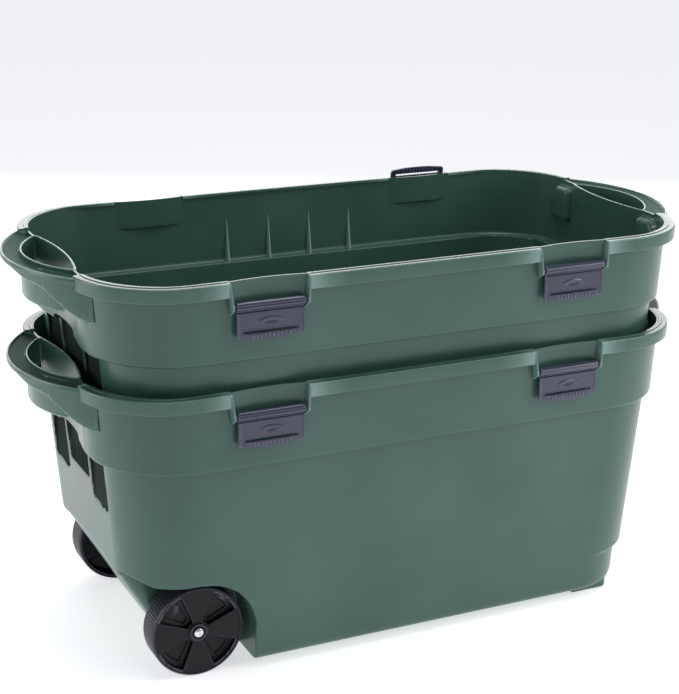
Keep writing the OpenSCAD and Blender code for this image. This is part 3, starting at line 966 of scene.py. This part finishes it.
def zinc():
    """Bright zinc plate with fine turning marks."""
    material = bpy.data.materials.new("bright_zinc")
    material.use_nodes = True
    nodes = material.node_tree.nodes
    links = material.node_tree.links
    shader = nodes["Principled BSDF"]
    shader.inputs["Metallic"].default_value = 1.0
    shader.inputs["Base Color"].default_value = colour(222, 224, 228)
    place_node = nodes.new("ShaderNodeTexCoord")
    noise = nodes.new("ShaderNodeTexNoise")
    noise.inputs["Scale"].default_value = 450.0
    links.new(place_node.outputs["Object"], noise.inputs["Vector"])
    gloss = nodes.new("ShaderNodeMapRange")
    gloss.inputs["To Min"].default_value = 0.16
    gloss.inputs["To Max"].default_value = 0.38
    links.new(noise.outputs["Fac"], gloss.inputs["Value"])
    links.new(gloss.outputs["Result"], shader.inputs["Roughness"])
    bump = nodes.new("ShaderNodeBump")
    bump.inputs["Strength"].default_value = 0.2
    bump.inputs["Distance"].default_value = 0.00005
    links.new(noise.outputs["Fac"], bump.inputs["Height"])
    links.new(bump.outputs["Normal"], shader.inputs["Normal"])
    return material


# ---------------------------------------------------------------- the pair of tubs
def dress(mesh, *materials):
    for material in materials:
        mesh.materials.append(material)
    return mesh


def build():
    # Lighter colour for the painted highlight on sharp edges of the green parts.
    edge_highlight_colour = colour(165, 195, 188)
    tub_green = colour(53, 87, 77)
    green = plastic("tub_green", tub_green, edge_highlight_colour, 0.29, edge_from=0.61)
    edged_green = plastic("tub_green_edges", tub_green, edge_highlight_colour, 0.27)
    # Ledge of the handles: matt, and painted a little darker than the tub as shade.
    matte_shaded_ledge_green = plastic("handle_ledge_painted_shade", colour(48, 80, 69), edge_highlight_colour, 0.62, 500.0, specular=0.12)
    # The second colour of the latch and of the wheel is their painted highlight on sharp edges.
    latch_grey = plastic("latch_grey", colour(50, 52, 72), colour(128, 132, 156), 0.2, 1300.0,
                         specular=0.6)
    black = plastic("wheel_black", colour(10, 9, 13), colour(96, 96, 110), 0.30, 1300.0,
                    specular=0.24)
    # Near-black green for the faces lining the pockets: painted shade in the recesses.
    painted_pocket_shade = plastic("painted_pocket_shade", colour(14, 27, 23), edge_highlight_colour, 0.75, edge_from=0.57,
                           specular=0.06)
    steel = zinc()
    shell = dress(shell_mesh(), green, painted_pocket_shade)
    handles = dress(handle_mesh(), edged_green, matte_shaded_ledge_green)
    trim = dress(trim_mesh(), edged_green)
    latch = dress(latch_mesh(), latch_grey)
    wheel = dress(wheel_mesh(), black)
    cap = dress(cap_mesh(), steel)
    wheel_in = TRACK_HALF - WHEEL_W
    for tier in ("lower", "upper"):
        tub_body = tier + "_tub"
        place(tier + "_shell", shell, tier, tub_body, "tub_plastic", tub_body)
        place(tier + "_handles", handles, tier, tub_body, "tub_plastic")
        place(tier + "_rim", trim, tier, tub_body, "tub_plastic")
        for side_y, depth_name in ((-1, "front"), (1, "rear")):
            node = f"{tier}_wheel_{depth_name}"
            turn = Matrix.Rotation(math.pi if side_y < 0 else 0, 4, "Z")
            centre = PLACE[tier] + Vector((-AXLE_X, 0, WHEEL_R)) * MM
            put(node + "_moulding", wheel, centre, turn, wheel_in * side_y, node,
                node)
            cap_name = f"{tier}_axle_cap_{depth_name}"
            put(cap_name + "_dome", cap, centre, turn, CAP_Y * side_y, tub_body,
                cap_name)
            for side_x, length_name in ((-1, "left"), (1, "right")):
                latch_piece(latch, tier, side_x, side_y, f"{tier}_latch_{depth_name}_{length_name}")
        axle = frame["nodes"][tier + "_axle"]
        axle.data.materials.clear()
        axle.data.materials.append(steel)


def put(name, mesh, centre, turn, along, body, node):
    piece = bpy.data.objects.new(name, mesh)
    bpy.context.scene.collection.objects.link(piece)
    piece.matrix_world = Matrix.Translation(centre + Vector((0, along * MM, 0))) @ turn
    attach(piece, body)
    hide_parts(node)


def latch_piece(mesh, tier, side_x, side_y, node):
    """Latches hang, but the one whose joint starts below zero is stored raised by that much."""
    limits = JOINTS[node + "_pivot"]["range_deg"]
    raised = -limits[0]
    centre = PLACE[tier] + Vector((side_x * LATCH_X, side_y * PIVOT_Y, RIM_Z - PIVOT_DROP)) * MM
    turn = Matrix.Rotation(math.pi if side_y < 0 else 0, 4, "Z")
    if raised:
        mesh = mesh.copy()
        mesh.transform(Matrix.Rotation(math.radians(raised), 4, "X"))
    put(node + "_moulding", mesh, centre, turn, 0, node, node)


# ---------------------------------------------------------------- light, floor and camera
def camera():
    yaw = math.radians(26.89)
    pitch = math.radians(20.60)
    roll = math.radians(1.19)
    forward = Vector((math.sin(yaw) * math.cos(pitch), math.cos(yaw) * math.cos(pitch),
                      -math.sin(pitch)))
    level_right = Vector((math.cos(yaw), -math.sin(yaw), 0))
    level_up = level_right.cross(forward)
    right = level_right * math.cos(roll) + level_up * math.sin(roll)
    up = level_up * math.cos(roll) - level_right * math.sin(roll)
    data = bpy.data.cameras.new("camera")
    data.sensor_width = 36.0
    data.lens = 88.345
    data.shift_x = -0.0748
    data.shift_y = 0.111
    eye = bpy.data.objects.new("camera", data)
    axes = Matrix((right, up, -forward)).transposed().to_4x4()
    eye.matrix_world = Matrix.Translation(Vector((-1.0969, -2.3125 + MID_Y, 1.2394))) @ axes
    bpy.context.scene.collection.objects.link(eye)
    bpy.context.scene.camera = eye


def area_light(name, location, target, size, power):
    data = bpy.data.lights.new(name, "AREA")
    data.shape = "RECTANGLE"
    data.size, data.size_y = size
    data.energy = power
    lamp = bpy.data.objects.new(name, data)
    lamp.location = location
    lamp.visible_camera = False
    lamp.rotation_euler = (Vector(target) - Vector(location)).to_track_quat("-Z", "Y").to_euler()
    bpy.context.scene.collection.objects.link(lamp)


def studio():
    world = bpy.data.worlds.new("studio")
    world.use_nodes = True
    world.node_tree.nodes["Background"].inputs["Color"].default_value = (0.97, 0.98, 1.0, 1)
    world.node_tree.nodes["Background"].inputs["Strength"].default_value = 0.32
    bpy.context.scene.world = world
    area_light("left_end", (-2.4, 0.7, 0.9), (-0.4, 0, 0.35), (1.2, 1.4), 16)
    area_light("horizon", (1.1, 2.4, 1.45), (0, 0, 0.55), (3.6, 1.5), 50)
    area_light("top_front", (0.1, -0.5, 2.9), (0, 0.1, 0.5), (1.8, 1.0), 26)
    area_light("right_front", (1.5, -1.3, 1.2), (0.3, 0, 0.3), (0.9, 0.9), 12)
    mesh = bpy.data.meshes.new("floor")
    reach = 12.0
    corners = [(-reach, -reach, 0), (reach, -reach, 0), (reach, reach, 0), (-reach, reach, 0)]
    mesh.from_pydata(corners, [], [(0, 1, 2, 3)])
    floor = bpy.data.objects.new("floor", mesh)
    bpy.context.scene.collection.objects.link(floor)
    paper = bpy.data.materials.new("paper")
    paper.use_nodes = True
    shader = paper.node_tree.nodes["Principled BSDF"]
    shader.inputs["Base Color"].default_value = (0.86, 0.87, 0.89, 1)
    shader.inputs["Roughness"].default_value = 0.8
    shader.inputs["Emission Color"].default_value = (0.98, 0.985, 1.0, 1)
    shader.inputs["Emission Strength"].default_value = 0.6
    mesh.materials.append(paper)
    bpy.context.scene.view_settings.view_transform = "Standard"


camera()
studio()
build()
